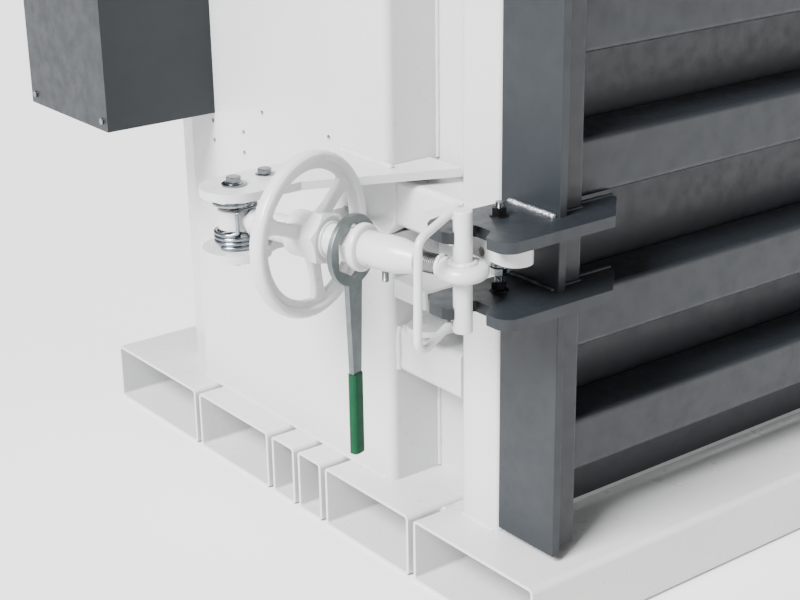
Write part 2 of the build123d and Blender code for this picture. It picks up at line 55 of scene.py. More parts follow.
BAR_NUT_DROP = 0.0205       # the nut hangs this far below the catch bar, under washers
UP = Vector((0, 0, 1))

# ---------------------------------------------------------------- places from the frame


def low_high(node):
    """A node's two corners as vectors."""
    low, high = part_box(node)
    return Vector(low), Vector(high)


SPIN = JOINTS["wheel_spin"]
OUT = Vector(SPIN["axis"]).normalized()          # along the spindle, from the pivot to the pin
PIN = Vector(SPIN["pos_m"])                      # spindle axis at the cross pin
LEVEL = OUT.cross(UP)                            # level, square to the spindle, to the left
PIVOT = Vector(JOINTS["arm_swing"]["pos_m"])


def spindle(station, left=0.0, up=0.0):
    """A point at a distance from the cross pin back along the spindle."""
    return PIN - OUT * station + LEVEL * left + UP * up


def axes(origin, z_axis, x_hint=UP):
    """A matrix whose Z is z_axis and whose X is as near x_hint as it can be."""
    z = Vector(z_axis).normalized()
    side = z.cross(Vector(x_hint))
    if side.length < 1e-6:
        side = z.cross(Vector((1, 0, 0)))
    y = side.normalized()
    x = y.cross(z)
    basis = Matrix((x, y, z)).transposed().to_4x4()
    basis.translation = Vector(origin)
    return basis


# ---------------------------------------------------------------- materials


class Shader:
    """Short names for building one node material."""

    def __init__(self, name, color, roughness, metallic=0.0):
        self.material = bpy.data.materials.new(name)
        self.material.use_nodes = True
        self.tree = self.material.node_tree
        self.bsdf = self.tree.nodes["Principled BSDF"]
        self.bsdf.inputs["Base Color"].default_value = (*color, 1)
        self.bsdf.inputs["Roughness"].default_value = roughness
        self.bsdf.inputs["Metallic"].default_value = metallic
        self.place = self.node("ShaderNodeTexCoord").outputs["Object"]

    def node(self, kind, **settings):
        made = self.tree.nodes.new(kind)
        for key, value in settings.items():
            setattr(made, key, value)
        return made

    def link(self, source, target):
        self.tree.links.new(source, target)

    def noise(self, scale, detail=3.0, rough=0.55, stretch=None):
        """Noise in metres of object space."""
        texture = self.node("ShaderNodeTexNoise")
        texture.inputs["Scale"].default_value = scale
        texture.inputs["Detail"].default_value = detail
        texture.inputs["Roughness"].default_value = rough
        source = self.place
        if stretch:
            mapping = self.node("ShaderNodeMapping")
            mapping.inputs["Scale"].default_value = stretch
            self.link(source, mapping.inputs["Vector"])
            source = mapping.outputs["Vector"]
        self.link(source, texture.inputs["Vector"])
        return texture.outputs["Fac"]

    def ramp(self, source, stops):
        """Colour ramp with (position, colour) stops."""
        ramp = self.node("ShaderNodeValToRGB")
        elements = ramp.color_ramp.elements
        while len(elements) < len(stops):
            elements.new(0.5)
        for element, (position, color) in zip(elements, stops):
            element.position = position
            element.color = (*color, 1)
        self.link(source, ramp.inputs["Fac"])
        return ramp.outputs["Color"]

    def span(self, source, low, high, at=(0.3, 0.7)):
        """A value spread between low and high."""
        remap = self.node("ShaderNodeMapRange")
        remap.inputs["From Min"].default_value = at[0]
        remap.inputs["From Max"].default_value = at[1]
        remap.inputs["To Min"].default_value = low
        remap.inputs["To Max"].default_value = high
        self.link(source, remap.inputs["Value"])
        return remap.outputs["Result"]

    def mix(self, factor, first, second):
        """Mix of two colours or colour outputs."""
        mixer = self.node("ShaderNodeMix", data_type="RGBA")
        self.link(factor, mixer.inputs["Factor"])
        for socket, value in ((mixer.inputs[6], first), (mixer.inputs[7], second)):
            if isinstance(value, tuple):
                socket.default_value = (*value, 1)
            else:
                self.link(value, socket)
        return mixer.outputs[2]

    def bump(self, layers):
        """Bump from (height, distance in metres, strength) layers, one on top of the other."""
        normal = None
        for height, distance, strength in layers:
            bump = self.node("ShaderNodeBump")
            bump.inputs["Distance"].default_value = distance
            bump.inputs["Strength"].default_value = strength
            self.link(height, bump.inputs["Height"])
            if normal:
                self.link(normal, bump.inputs["Normal"])
            normal = bump.outputs["Normal"]
        self.link(normal, self.bsdf.inputs["Normal"])

    def color(self, source):
        self.link(source, self.bsdf.inputs["Base Color"])

    def roughness(self, source):
        self.link(source, self.bsdf.inputs["Roughness"])


def paint(name, color, shade, roughness, coat, specular=0.5):
    """Sprayed gloss paint: orange peel, faint cloudiness and fine dust in the film."""
    shader = Shader(name, color, roughness)
    cloud = shader.noise(6.0, 4.0)
    speck = shader.noise(900.0, 2.0)
    base = shader.mix(shader.span(cloud, 0, 1), color, shade)
    dark = tuple(c * 0.86 for c in shade)
    shader.color(shader.mix(shader.span(speck, 0, 0.35, (0.66, 0.8)), base, dark))
    shader.roughness(shader.span(shader.noise(45.0, 3.0), roughness * 0.8, roughness * 1.25))
    peel = shader.noise(420.0, 2.0, 0.4)
    wave = shader.noise(28.0, 2.0, 0.5)
    shader.bump([(wave, 0.0008, 0.25), (peel, 0.00012, 0.5)])
    shader.bsdf.inputs["Specular IOR Level"].default_value = specular
    shader.bsdf.inputs["Coat Weight"].default_value = coat
    shader.bsdf.inputs["Coat Roughness"].default_value = 0.12
    return shader.material


def metal(name, color, shade, roughness, grain=(1, 1, 1), scratch=0.3):
    """Plated or ground steel with fine grain and uneven dulling."""
    shader = Shader(name, color, roughness, 1.0)
    cloud = shader.noise(60.0, 4.0)
    shader.color(shader.mix(shader.span(cloud, 0, 1), color, shade))
    fine = shader.noise(700.0, 3.0, 0.6, grain)
    shader.roughness(shader.span(fine, roughness * 0.7, roughness * 1.4))
    shader.bump([(fine, 0.00005, scratch), (cloud, 0.0002, 0.15)])
    return shader.material


def weld_metal():
    """Bare shiny weld: bright ripples with faint heat tint."""
    shader = Shader("weld_silver", (0.5, 0.51, 0.52), 0.28, 1.0)
    cloud = shader.noise(240.0, 3.0)
    shader.color(shader.mix(shader.span(cloud, 0, 1), (0.62, 0.63, 0.64), (0.34, 0.36, 0.39)))
    shader.roughness(shader.span(cloud, 0.22, 0.5))
    shader.bump([(shader.noise(1300.0, 3.0), 0.0004, 0.8), (shader.noise(430.0, 2.0), 0.0012, 0.9)])
    return shader.material


def grip_rubber():
    """Dipped green plastic: soft gloss with shallow dips and dust."""
    shader = Shader("green_dip", (0.002, 0.045, 0.018), 0.42)
    shader.bsdf.inputs["Specular IOR Level"].default_value = 0.15
    cloud = shader.noise(40.0, 3.0)
    shader.color(shader.mix(shader.span(cloud, 0, 1), (0.0022, 0.050, 0.020), (0.0016, 0.038, 0.015)))
    shader.roughness(shader.span(shader.noise(160.0, 3.0), 0.34, 0.52))
    shader.bump([(shader.noise(90.0, 2.0), 0.0004, 0.3), (shader.noise(1400.0, 2.0), 0.00004, 0.5)])
    return shader.material


WHITE = paint("white_gloss", (0.52, 0.525, 0.52), (0.495, 0.50, 0.50), 0.32, 0.2)
GREY = paint("grey_gloss", (0.0125, 0.0155, 0.0190), (0.0105, 0.0132, 0.0162), 0.42, 0.02,
             0.34)
ZINC = metal("zinc_plate", (0.30, 0.32, 0.335), (0.11, 0.12, 0.13), 0.2)
BLACK = metal("black_oxide", (0.03, 0.03, 0.032), (0.016, 0.016, 0.018), 0.42)
STEEL = metal("spanner_steel", (0.19, 0.212, 0.212), (0.14, 0.158, 0.162), 0.42, (1, 1, 1), 0.5)
WIRE = metal("spring_zinc", (0.36, 0.39, 0.42), (0.16, 0.175, 0.20), 0.2)
GREASED = metal("greased_thread", (0.36, 0.36, 0.35), (0.10, 0.10, 0.10), 0.45)
WELD = weld_metal()
GREEN = grip_rubber()

SLOTS = {
    "white_paint": WHITE,
    "grey_paint": GREY,
    "zinc": ZINC,
    "dark_bolt": BLACK,
    "spanner_steel": STEEL,
    "green_grip": GREEN,
    "spring_wire": WIRE,
}
SLOT_OF = {part["node"]: part["material_slot"] for part in RECORD["subparts"]}

for node_name, node_object in NODES.items():
    node_object.data.materials.clear()
    node_object.data.materials.append(SLOTS[SLOT_OF[node_name]])


def soften(node, width, segments=3):
    """Round the sharp edges of a node that keeps its CAD shape."""
    bevel = NODES[node].modifiers.new("edges", "BEVEL")
    bevel.width = width
    bevel.segments = segments
    bevel.limit_method = "ANGLE"
    bevel.angle_limit = math.radians(40)
    bevel.harden_normals = True


for node_name in NODES:
    if node_name.startswith(("lug_plate", "pivot_bracket", "door_side", "door_hinge", "frame_hinge",
                             "catch_bar", "ring_spanner", "top_flange", "swing_arm",
                             "keeper_bracket", "ring_beam", "door_rib", "door_stile")):
        soften(node_name, 0.0009)

# ---------------------------------------------------------------- mesh helpers


def piece(name, verts, faces, material, body, sharp=35.0):
    """A mesh object that rides on a body, smooth except at its sharp edges."""
    mesh = bpy.data.meshes.new(name)
    mesh.from_pydata([tuple(v) for v in verts], [], faces)
    mesh.materials.append(material)
    made = bpy.data.objects.new(name, mesh)
    bpy.context.scene.collection.objects.link(made)
    work = bmesh.new()
    work.from_mesh(mesh)
    bmesh.ops.remove_doubles(work, verts=work.verts, dist=1e-6)
    if not work.faces:
        raise ValueError(f"{name} has no faces")
    bmesh.ops.recalc_face_normals(work, faces=work.faces)
    for face in work.faces:
        face.smooth = True
    limit = math.radians(sharp)
    for edge in work.edges:
        if len(edge.link_faces) == 2 and edge.calc_face_angle(0.0) > limit:
            edge.smooth = False
    work.to_mesh(mesh)
    work.free()
    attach(made, body)
    return made


def grid(rows, wrap_rows=False, cap=True):
    """Vertices and faces of a skin over closed rings of equal length."""
    verts = [v for row in rows for v in row]
    count = len(rows[0])
    faces = []
    last = len(rows) if wrap_rows else len(rows) - 1
    for i in range(last):
        a, b = i * count, ((i + 1) % len(rows)) * count
        for j in range(count):
            k = (j + 1) % count
            faces.append((a + j, a + k, b + k, b + j))
    if cap and not wrap_rows:
        faces.append(tuple(reversed(range(count))))
        faces.append(tuple(range((len(rows) - 1) * count, len(rows) * count)))
    return verts, faces


def turned(matrix, rings, segments=48, wrap=False):
    """Rings about a matrix's Z; each ring is (radius or function of angle, height or function)."""
    rows = []
    for radius, height in rings:
        row = []
        for j in range(segments):
            angle = 2 * math.pi * j / segments
            r = radius(angle) if callable(radius) else radius
            h = height(angle) if callable(height) else height
            row.append(matrix @ Vector((r * math.cos(angle), r * math.sin(angle), h)))
        rows.append(row)
    return grid(rows, wrap)


def hexagon(across_flats):
    """Radius of a hexagon at an angle."""
    step = math.pi / 3

    def radius(angle):
        return across_flats / 2 / math.cos((angle + step / 2) % step - step / 2)

    return radius


def chamfered_hex(across_flats, height, start=0.0, bore=0.0, both=False):
    """Rings of a bolt head or nut whose corners are chamfered."""
    outline = hexagon(across_flats)
    round_r = across_flats * 0.475
    slope = math.tan(math.radians(28))

    def low(angle):
        return start + ((outline(angle) - round_r) * slope if both else 0.0)

    def high(angle):
        return start + height - (outline(angle) - round_r) * slope

    rings = [(bore, start), (round_r, start)] if both else [(bore, start)]
    rings += [(outline, low), (outline, high), (round_r, start + height)]
    rings += [(round_r * 0.96, start + height), (max(bore, 1e-5), start + height)]
    return rings


def resample(points, step):
    """Points at even steps along a polyline."""
    points = [Vector(p) for p in points]
    result = [points[0]]
    for a, b in zip(points, points[1:]):
        count = max(1, round((b - a).length / step))
        result += [a.lerp(b, i / count) for i in range(1, count + 1)]
    return result


def rounded_path(points, radius, step=0.002):
    """A polyline whose corners are arcs."""
    points = [Vector(p) for p in points]
    result = [points[0]]
    for before, corner, after in zip(points, points[1:], points[2:]):
        d_in = (corner - before).normalized()
        d_out = (after - corner).normalized()
        turn = d_in.angle(d_out)
        if turn < 1e-3:
            continue
        cut = radius * math.tan(turn / 2)
        normal = (d_out - d_in).normalized()
        middle = corner + normal * (radius / math.cos(turn / 2))
        start = corner - d_in * cut
        axis = d_in.cross(d_out).normalized()
        count = max(3, round(radius * turn / step))
        for i in range(count + 1):
            spin = Matrix.Rotation(turn * i / count, 3, axis)
            result.append(middle + spin @ (start - middle))
    result.append(points[-1])
    return result


def swept(points, radius, segments=12, closed=False, round_ends=True):
    """A tube along points; radius is a number or a function of (distance, angle)."""
    count = len(points)
    rows = []
    distance = 0.0
    tangent = (points[1] - points[0]).normalized()
    side = tangent.orthogonal().normalized()
    for i, point in enumerate(points):
        if closed:
            new = (points[(i + 1) % count] - points[i - 1]).normalized()
        else:
            new = (points[min(i + 1, count - 1)] - points[max(i - 1, 0)]).normalized()
        if i:
            distance += (point - points[i - 1]).length
        side = (tangent.rotation_difference(new) @ side).normalized()
        tangent = new
        other = tangent.cross(side)
        row = []
        for j in range(segments):
            angle = 2 * math.pi * j / segments
            r = radius(distance, angle) if callable(radius) else radius
            row.append(point + (side * math.cos(angle) + other * math.sin(angle)) * r)
        rows.append(row)
    if round_ends and not closed:
        first = sum(rows[0], Vector()) / segments
        last = sum(rows[-1], Vector()) / segments
        back = (points[0] - points[1]).normalized() * ((rows[0][0] - first).length * 0.35)
        ahead = (points[-1] - points[-2]).normalized() * ((rows[-1][0] - last).length * 0.35)
        rows.insert(0, [first + (v - first) * 0.65 + back for v in rows[0]])
        rows.append([last + (v - last) * 0.65 + ahead for v in rows[-1]])
    return grid(rows, closed)


def bead(name, path, width, body, material=WHITE, seed=1, pitch=0.0035,
         closed=False):
    """A weld bead along a path: overlapping ripples with an uneven hand-laid width."""
    chance = random.Random(seed)
    waves = [(chance.uniform(90, 260), chance.uniform(0, 6.28), chance.uniform(0.03, 0.08))
             for _ in range(4)]

    def radius(distance, angle):
        lag = 0.45 * math.cos(angle * 2)
        ripple = ((distance / pitch - lag) % 1.0) ** 0.6
        wobble = sum(size * math.sin(rate * distance + phase) for rate, phase, size in waves)
        return width * (0.88 + 0.2 * ripple + wobble)

    points = resample(path, 0.0007)
    verts, faces = swept(points, radius, 12, closed)
    return piece(name, verts, faces, material, body, 60)


def ring_path(middle, normal, radius, turn=1.0, start=0.0):
    """Points round a circle."""
    basis = axes(middle, normal)
    count = max(24, round(2 * math.pi * radius * turn / 0.001))
    return [
        basis @ Vector((radius * math.cos(a), radius * math.sin(a), 0))
        for a in (start + 2 * math.pi * turn * i / count for i in range(count + 1))
    ]


def thread(matrix, radius, pitch, length, depth, segments=48):
    """Rings of a screw thread with a chamfered end."""
    rows = []
    count = round(length / pitch * 10)
    for i in range(count + 1):
        h = length * i / count
        fade = min(1.0, (length - h) / (pitch * 1.2), h / (pitch * 0.6) + 0.2)
        row = []
        for j in range(segments):
            angle = 2 * math.pi * j / segments
            phase = (h / pitch - j / segments) % 1.0
            tooth = min(1.0, max(0.0, abs(phase - 0.5) * 2.6 - 0.3))
            r = radius - depth * (1 - tooth * fade)
            row.append(matrix @ Vector((r * math.cos(angle), r * math.sin(angle), h)))
        rows.append(row)
    return grid(rows)


# ---------------------------------------------------------------- fasteners


def bolt_head(name, middle, across_flats, height, body, material, turn=0.0):
    """Chamfered hexagon head standing on a plate."""
    basis = Matrix.Translation(middle) @ Matrix.Rotation(math.radians(turn), 4, "Z")
    verts, faces = turned(basis, chamfered_hex(across_flats, height, bore=0.0001), 72)
    return piece(name, verts, faces, material, body, 25)


def clamp_bolt():
    """Threaded clamp bolt through the lug plates, with four flange nuts."""
    low, high = low_high("lug_clamp_bolt")
    middle = (low + high) / 2
    basis = Matrix.Translation((middle.x, middle.y, low.z))
    verts, faces = thread(basis, (high.x - low.x) / 2, 0.00175, high.z - low.z, 0.0009)
    rod = piece("clamp_bolt_thread", verts, faces, ZINC, "door", 60)
    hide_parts("lug_clamp_bolt")

    lug_top = low_high("lug_plate_upper")[1].z
    bar_low = low_high("catch_bar")[0].z
    lower_low, lower_high = low_high("lug_plate_lower")
    nuts = (
        ("clamp_nut_top", lug_top, 1, BLACK, "dark_bolt"),
        ("clamp_nut_bar", bar_low - BAR_NUT_DROP, -1, ZINC, "zinc"),
        ("clamp_nut_lower", lower_high.z, 1, BLACK, "dark_bolt"),
        ("clamp_nut_bottom", lower_low.z, -1, BLACK, "dark_bolt"),
    )
    for number, (name, z, way, material, slot_name) in enumerate(nuts):
        flip = Matrix.Identity(4) if way > 0 else Matrix.Rotation(math.pi, 4, "X")
        basis = Matrix.Translation((middle.x, middle.y, z)) @ flip
        basis = basis @ Matrix.Rotation(0.3 + number, 4, "Z")
        bore = 0.0061
        rings = [(bore, 0.0), (0.0128, 0.0), (0.013, 0.0006), (0.0128, 0.0012)]
        rings += [(lambda a: max(0.0098, hexagon(0.018)(a) * 1.01), 0.0026)]
        rings += chamfered_hex(0.018, 0.0094, 0.0026, bore)[1:]
        verts, faces = turned(basis, rings, 72, True)
        nut = piece(name, verts, faces, material, "door", 28)
        if number == 0:
            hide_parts("lug_clamp_nuts")


def clamp_spacer():
    """Washers that fill the space between the catch bar and its nut."""
    low, high = low_high("lug_clamp_bolt")
    bar_low = low_high("catch_bar")[0].z
    spot = Vector(((low.x + high.x) / 2, (low.y + high.y) / 2, bar_low))
    rings = []
    for i in range(7):
        h = i * 0.0029
        rings += [(0.0112, h + 0.0001), (0.0116, h + 0.0005), (0.0116, h + 0.0024),
                  (0.0112, h + 0.0028)]
    rings = [(0.0061, 0.0)] + rings + [(0.0061, 0.0203)]
    verts, faces = turned(Matrix.Translation(spot) @ Matrix.Rotation(math.pi, 4, "X"), rings, 48, True)
    piece("clamp_washers", verts, faces, ZINC, "door", 30)


def bracket_bolts():
    """Pivot bolt with its washer, guide bolt, and the nuts below."""
    upper_top = low_high("pivot_bracket_upper")[1].z
    lower_low = low_high("pivot_bracket_lower")[0].z
    for name, node, across, stand in (
        ("pivot_bolt_head", "pivot_bolt", 0.019, 0.0032),
        ("guide_bolt_head", "guide_bolt", 0.018, 0.0),
    ):
        low, high = low_high(node)
        spot = Vector(((low.x + high.x) / 2, (low.y + high.y) / 2, upper_top + stand))
        head = bolt_head(name, spot, across, 0.0088, "press_body", ZINC, 17)
        flange = axes(spot, UP)
        verts, faces = turned(
            flange, [(0.0001, -0.0002), (0.0128, -0.0002), (0.0132, 0.0008), (0.0122, 0.0016),
                     (0.0001, 0.0022)], 48
        )
        piece(name + "_flange", verts, faces, ZINC, "press_body")
        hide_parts(node)
        nut_low = Vector((spot.x, spot.y, lower_low))
        flip = Matrix.Translation(nut_low) @ Matrix.Rotation(math.pi, 4, "X")
        verts, faces = turned(flip, chamfered_hex(across, 0.0115, 0, 0.006, True), 72)
        nut = piece(name + "_nut", verts, faces, ZINC, "press_body", 28)
        if node == "pivot_bolt":
            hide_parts("bracket_nuts")
        verts, faces = thread(flip, 0.0058, 0.00175, 0.016, 0.0009, 32)
        piece(name + "_tip", verts, faces, ZINC, "press_body", 60)
        shank = [(0.0058, 0.0), (0.0058, upper_top - lower_low)]
        verts, faces = turned(axes(nut_low, UP), shank, 32)
        piece(name + "_shank", verts, faces, ZINC, "press_body")
    low, high = low_high("pivot_washer")
    spot = (low + high) / 2
    r = (high.x - low.x) / 2
    verts, faces = turned(
        axes(Vector((spot.x, spot.y, low.z)), UP),
        [(0.0066, 0.0), (r - 0.0004, 0.0), (r, 0.0004), (r, 0.0026), (r - 0.0006, 0.003),
         (0.0066, 0.003)], 64, True,
    )
    washer = piece("pivot_washer_disc", verts, faces, ZINC, "press_body")
    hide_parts("pivot_washer")


clamp_bolt()
clamp_spacer()
bracket_bolts()

# ---------------------------------------------------------------- torsion spring


def spring():
    """Double torsion spring: coils above and below the arm's eye, joined by a bridge."""
    low, high = low_high("torsion_spring")
    middle = (low + high) / 2
    wire = 0.0027
    coil_r = (high.x - low.x) / 2 - wire
    facing = math.radians(-118)
    eye_top = PIVOT.z + 0.0175
    eye_bottom = PIVOT.z - 0.0175

    def coil(z, angle, radius=coil_r):
        return Vector((middle.x + radius * math.cos(angle), middle.y + radius * math.sin(angle), z))

    def helix(z0, z1, angle0, turns):
        count = round(turns * 48)
        return [
            coil(z0 + (z1 - z0) * i / count, angle0 + 2 * math.pi * turns * i / count)
            for i in range(count + 1)
        ]

    lower_turns = (eye_bottom - low.z - wire) / 0.0061
    upper_turns = (high.z - wire - eye_top) / 0.0068
    start = facing - 0.35 - 2 * math.pi * lower_turns
    lower = helix(low.z + wire, eye_bottom, start, lower_turns)
    upper = helix(eye_top, high.z - wire, facing + 0.35, upper_turns)
    bridge = [coil(eye_bottom + 0.004, facing, coil_r + 0.001),
              coil(eye_top - 0.004, facing, coil_r + 0.001)]
    link = rounded_path([lower[-1]] + bridge + [upper[0]], 0.0025, 0.001)
    verts, faces = swept(lower + link[1:-1] + upper, wire, 14)
    made = piece("torsion_spring_coils", verts, faces, WIRE, "lock_arm", 60)
    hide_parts("torsion_spring")


spring()

# ---------------------------------------------------------------- hook rod, ring, pin, handle


def hook_rod():
    """Threaded rod with a forged ring eye, welded round the cross pin."""
    length = 0.140
    start = 0.030
    basis = axes(spindle(start + length), OUT)
    verts, faces = thread(basis, 0.0135, 0.003, length, 0.0016, 56)
    rod = piece("hook_rod_thread", verts, faces, GREASED, "lock_hook", 60)
    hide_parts("hook_rod")
    neck = [(0.0, 0.0), (0.0122, 0.0), (0.0126, 0.006), (0.0131, 0.011), (0.0126, 0.0135),
            (0.0105, 0.0145), (0.0, 0.0145)]
    neck = [(max(r, 1e-5), h + 0.0225) for r, h in neck]
    verts, faces = turned(axes(spindle(0), -OUT), neck, 40)
    piece("hook_ring_neck", verts, faces, WHITE, "lock_hook")
    ring_r, section = 0.0228, 0.0108
    rows = []
    for i in range(96):
        a = 2 * math.pi * i / 96
        row = []
        for j in range(28):
            b = 2 * math.pi * j / 28
            r = ring_r + section * math.cos(b)
            row.append(PIN + Vector((r * math.cos(a), r * math.sin(a), section * math.sin(b))))
        rows.append(row)
    verts, faces = grid(rows, True)
    piece("hook_ring", verts, faces, WHITE, "lock_hook")
    bead("ring_rod_weld", ring_path(spindle(0.0325), OUT, 0.0122), 0.0034, "lock_hook", seed=3)
    for up, seed in ((0.0098, 4), (-0.0098, 5)):
        bead(f"ring_pin_weld_{seed}", ring_path(PIN + UP * up, UP, 0.0148), 0.0044, "lock_hook",
             seed=seed, pitch=0.006)


def bar_handle():
    """Round bar bent to a handle beside the cross pin, welded to it above and below."""
    bar_r = 0.0055
    top = low_high("lug_plate_upper")[1].z
    aside = PIN - OUT * 0.016
    shape = ((-0.0125, 0.0248), (0.072, 0.0035), (0.075, -0.148), (-0.005, -0.1222))
    corners = [Vector((aside.x, aside.y, top + z)) + LEVEL * reach for reach, z in shape]
    path = rounded_path(corners, 0.017, 0.0015)

    def radius(distance, angle):
        return bar_r * (1 + 0.012 * math.sin(distance * 190) * math.cos(angle))

    verts, faces = swept(resample(path, 0.0015), radius, 20)
    handle = piece("bar_handle_bent", verts, faces, WHITE, "lock_hook")
    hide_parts("bar_handle")
    touch = PIN - OUT * 0.0128
    for number, (z, lift) in enumerate(((0.0215, -0.0052), (-0.1235, 0.0052), (-0.1235, -0.0052))):
        spot = Vector((touch.x, touch.y, top + z + lift))
        path = [spot - LEVEL * 0.0075 - OUT * -0.002, spot - OUT * 0.0005,
                spot + LEVEL * 0.0075 - OUT * -0.002]
        bead(f"handle_weld_{number}", path, 0.0026, "lock_hook", seed=8 + number, pitch=0.0028)


hook_rod()
bar_handle()

# ---------------------------------------------------------------- handwheel


def handwheel():
    """Cast wheel: round rim, stepped inner flange, three spokes and a hub, blended together."""
    low, high = low_high("handwheel")
    outer = (high.z - low.z) / 2
    middle = spindle(0.245)
    basis = axes(middle, -OUT)
    work = bmesh.new()

    def add(verts, faces):
        made = [work.verts.new(v) for v in verts]
        for face in faces:
            work.faces.new([made[i] for i in face])

    half = 0.011
    rim = [
        (outer - 0.013, -half + 0.002), (outer - 0.009, -half), (outer - 0.004, -half + 0.001),
        (outer - 0.0008, -half + 0.005), (outer, 0), (outer - 0.0008, half - 0.005),
        (outer - 0.004, half - 0.001), (outer - 0.009, half), (outer - 0.013, half - 0.002),
        (outer - 0.0145, 0.005), (outer - 0.024, 0.0045), (outer - 0.0252, 0.0),
        (outer - 0.024, -0.0045), (outer - 0.0145, -0.005),
    ]
    add(*turned(basis, rim, 160, True))
    boss = [(0.0122, -0.011), (0.029, -0.011), (0.031, -0.009), (0.031, 0.021), (0.029, 0.023),
            (0.0122, 0.023)]
    add(*turned(basis, boss, 72, True))
    level = basis.inverted().to_3x3() @ (-LEVEL)
    rise = basis.inverted().to_3x3() @ UP
    for angle in (38.0, 158.0, 278.0):
        a = math.radians(angle)
        along = level * math.cos(a) + rise * math.sin(a)
        across = Vector((0, 0, 1)).cross(along)
        rows = []
        for r in [0.022 + (outer - 0.040) * i / 16 for i in range(17)]:
            near = max(0.0, (0.05 - r) / 0.03)
            far = max(0.0, (r - (outer - 0.042)) / 0.02)
            wide = 0.0095 + 0.005 * near ** 1.5 + 0.006 * min(far, 1.0) ** 2
            thick = 0.0062 + 0.003 * near
            row = []
            for k in range(20):
                t = 2 * math.pi * k / 20
                c, s = math.cos(t), math.sin(t)
                x = wide * abs(c) ** 0.55 * (1 if c >= 0 else -1)
                z = thick * abs(s) ** 0.55 * (1 if s >= 0 else -1)
                row.append(basis @ (along * r + across * x + Vector((0, 0, z))))
            rows.append(row)
        add(*grid(rows))
    bmesh.ops.recalc_face_normals(work, faces=work.faces)
    mesh = bpy.data.meshes.new("handwheel_cast")
    work.to_mesh(mesh)
    work.free()
    made = bpy.data.objects.new("handwheel_cast", mesh)
    bpy.context.scene.collection.objects.link(made)
    remesh = made.modifiers.new("blend", "REMESH")
    remesh.mode = "VOXEL"
    remesh.voxel_size = 0.0011
    remesh.use_smooth_shade = True
    smooth = made.modifiers.new("fillet", "SMOOTH")
    smooth.factor = 0.5
    smooth.iterations = 6
    solid = bpy.data.meshes.new_from_object(
        made.evaluated_get(bpy.context.evaluated_depsgraph_get())
    )
    made.modifiers.clear()
    made.data = solid
    solid.materials.clear()
    solid.materials.append(WHITE)
    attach(made, "lock_wheel")
    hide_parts("handwheel")


handwheel()

# ---------------------------------------------------------------- sleeve and grub screw


def lock_sleeve():
    """Clamp sleeve: chamfered hexagons, neck, collar and a tube drawn down to a nose."""
    basis = axes(spindle(0), -OUT)
    bore = 0.0137
    tube_rings = [
        (bore, 0.066), (0.0162, 0.066), (0.0176, 0.0668), (0.0184, 0.070), (0.0196, 0.078),
        (0.0214, 0.087), (0.0230, 0.095), (0.0239, 0.103), (0.0242, 0.115), (0.0243, 0.1485),
        (0.0236, 0.1492), (0.0236, 0.1502), (0.0296, 0.1508), (0.0314, 0.1524), (0.0320, 0.1550),
        (0.0320, 0.1590), (0.0313, 0.1614), (0.0296, 0.1626), (bore, 0.1628),
    ]
    verts, faces = turned(basis, tube_rings, 96, True)
    body = piece("sleeve_tube", verts, faces, WHITE, "lock_wheel", 50)
    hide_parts("lock_sleeve")
    for name, across, start, height in (
        ("sleeve_hexagon", 0.065, 0.211, 0.023), ("sleeve_small_hexagon", 0.045, 0.162, 0.0245),
    ):
        rings = chamfered_hex(across, height, start, 0.0123, True)
        verts, faces = turned(basis @ Matrix.Rotation(0.26, 4, "Z"), rings[:-1] + [(0.0123, start + height)],
                              96, True)
        piece(name, verts, faces, WHITE, "lock_wheel", 24)
    neck = [(0.0125, 0.184), (0.0205, 0.184), (0.0218, 0.186), (0.0220, 0.204), (0.0224, 0.209),
            (0.0240, 0.2125), (0.0125, 0.2125)]
    verts, faces = turned(basis, neck, 72, True)
    piece("sleeve_neck", verts, faces, WHITE, "lock_wheel")
    bead("sleeve_neck_weld", ring_path(spindle(0.2103), OUT, 0.0226), 0.0026, "lock_wheel", seed=41)
    bead("sleeve_collar_weld", ring_path(spindle(0.1635), OUT, 0.0232), 0.0026, "lock_wheel",
         seed=42)
    bead("hub_weld", ring_path(spindle(0.2345), OUT, 0.0288), 0.003, "lock_wheel", seed=43)


def grub_screw():
    """Threaded stud with a hexagon socket standing out of the sleeve."""
    low, high = low_high("sleeve_grub_screw")
    middle = (low + high) / 2
    foot = Vector((middle.x, middle.y, low.z))
    basis = axes(foot, UP)
    socket = hexagon(0.0045)
    rings = [(1e-5, 0.004), (socket, 0.004), (socket, 0.0002), (0.0034, 0.0), (0.0039, 0.0006)]
    for i in range(12):
        h = 0.0012 + i * 0.00115
        rings += [(0.0045, h), (0.0045, h + 0.0005), (0.00415, h + 0.00085)]
    rings += [(0.0045, high.z - low.z), (1e-5, high.z - low.z)]
    verts, faces = turned(basis, rings, 48)
    stud = piece("grub_screw_stud", verts, faces, ZINC, "lock_wheel", 50)
    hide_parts("sleeve_grub_screw")


lock_sleeve()
grub_screw()

# ---------------------------------------------------------------- pocket behind the lock


